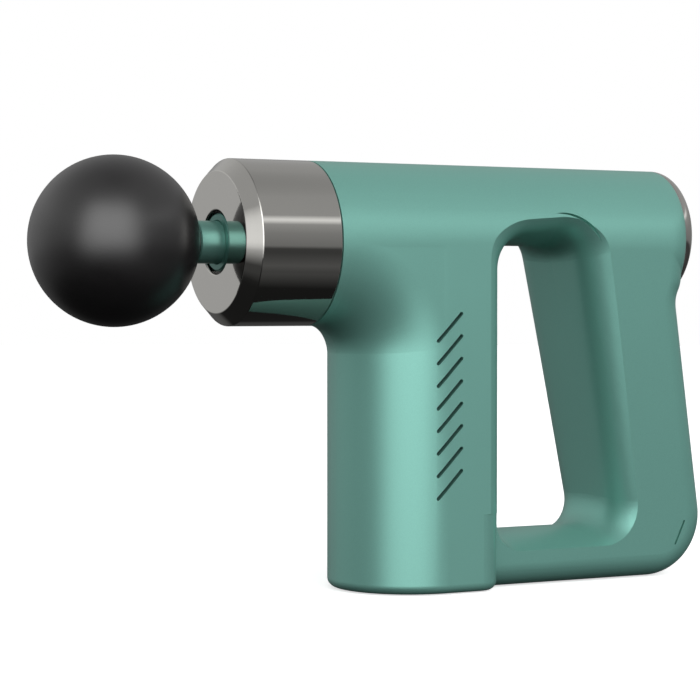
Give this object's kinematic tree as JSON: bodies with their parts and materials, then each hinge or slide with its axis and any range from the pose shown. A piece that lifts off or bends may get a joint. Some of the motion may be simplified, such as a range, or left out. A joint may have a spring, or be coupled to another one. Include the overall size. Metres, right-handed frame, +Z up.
{
  "type": "massage gun",
  "caption": "Percussion massage gun with a ball head, round barrel, battery column and slanted loop handle; the motor's crank drives the plunger in and out.",
  "frame": {"origin": "on the flat base under the centre line of the column's round front, which is also the motor shaft's axis", "axes": "+Z up, -X along the plunger towards the ball head, +X towards the control panel, Y=0 is the parting plane of the shells"},
  "size_m": [0.2449, 0.055, 0.144],
  "materials": {
    "green_shell": "satin pearlescent teal-green paint over moulded plastic",
    "chrome_nose": "polished plated ring",
    "chrome_bezel": "polished plated rim",
    "green_sleeve": "satin green",
    "green_plunger": "satin green, anodised look",
    "black_foam": "smooth closed-cell foam",
    "black_nylon": "satin moulded",
    "panel_glass": "gloss black",
    "button_black": "satin black",
    "light_guide": "clear acrylic",
    "dust_mesh": "woven black mesh",
    "steel_screw": "blackened steel",
    "shaft_steel": "ground steel",
    "bearing_steel": "polished steel",
    "counterweight_steel": "sintered",
    "yoke_aluminium": "machined",
    "frame_aluminium": "die cast",
    "rotor_steel": "black plated",
    "magnet_nickel": "nickel plated",
    "lamination": "stacked steel sheets",
    "copper_coil": "enamelled copper wire",
    "cell_wrap": "shrink wrap",
    "cell_nickel": "nickel strip",
    "tray_plastic": "moulded ABS",
    "damper_rubber": "soft rubber",
    "circuit_board": "solder mask",
    "chip_black": "moulded packages",
    "socket_steel": "stamped steel",
    "lead_insulation": "silicone insulation",
    "seal_rubber": "O-ring rubber"
  },
  "bodies": {
    "housing": {"left_shell": "green_shell", "right_shell": "green_shell", "housing_screws": "steel_screw", "vent_mesh": "dust_mesh", "nose_ring": "chrome_nose", "guide_sleeve": "green_sleeve", "guide_housing": "frame_aluminium", "front_damper": "damper_rubber", "stator_core": "lamination", "stator_coils": "copper_coil", "motor_base": "frame_aluminium", "motor_bearings": "bearing_steel", "motor_screws": "steel_screw", "drive_frame": "frame_aluminium", "frame_dampers": "damper_rubber", "battery_cells": "cell_wrap", "battery_tray": "tray_plastic", "battery_cap": "tray_plastic", "cell_links": "cell_nickel", "main_board": "circuit_board", "board_parts": "chip_black", "board_screws": "steel_screw", "charging_socket": "socket_steel", "charge_board": "circuit_board", "rear_bezel": "chrome_bezel", "control_panel": "panel_glass", "light_guides": "light_guide", "control_board": "circuit_board", "control_switch": "chip_black", "battery_leads": "lead_insulation", "motor_leads": "lead_insulation", "panel_leads": "lead_insulation"},
    "crank": {"motor_shaft": "shaft_steel", "rotor_bell": "rotor_steel", "rotor_magnets": "magnet_nickel", "crank_disc": "shaft_steel", "counterweight": "counterweight_steel", "crank_pin": "shaft_steel", "crank_roller": "bearing_steel", "roller_clip": "shaft_steel"},
    "plunger": {"plunger": "green_plunger", "yoke": "yoke_aluminium", "yoke_pin": "shaft_steel"},
    "head": {"massage_ball": "black_foam", "head_stem": "black_nylon", "head_seal": "seal_rubber"},
    "button": {"power_button": "button_black"}
  },
  "joints": [
    {"name": "crank_turn", "type": "hinge", "parent": "housing", "child": "crank", "pos_m": [0, 0, 0.1], "axis": [0, 0, -1], "range_deg": [-90, 90]},
    {"name": "plunger_stroke", "type": "slide", "parent": "housing", "child": "plunger", "axis": [-1, 0, 0], "range_m": [-0.005, 0.005]},
    {"name": "head_pull", "type": "slide", "parent": "plunger", "child": "head", "axis": [-1, 0, 0], "range_m": [0, 0.026]},
    {"name": "button_press", "type": "slide", "parent": "housing", "child": "button", "axis": [-1, 0, 0], "range_m": [0, 0.0009], "stiffness_N_per_m": 1500}
  ],
  "couplings": [
    {"joint": "plunger_stroke", "follows": "crank_turn", "m_per_rad": 0.00318}
  ]
}
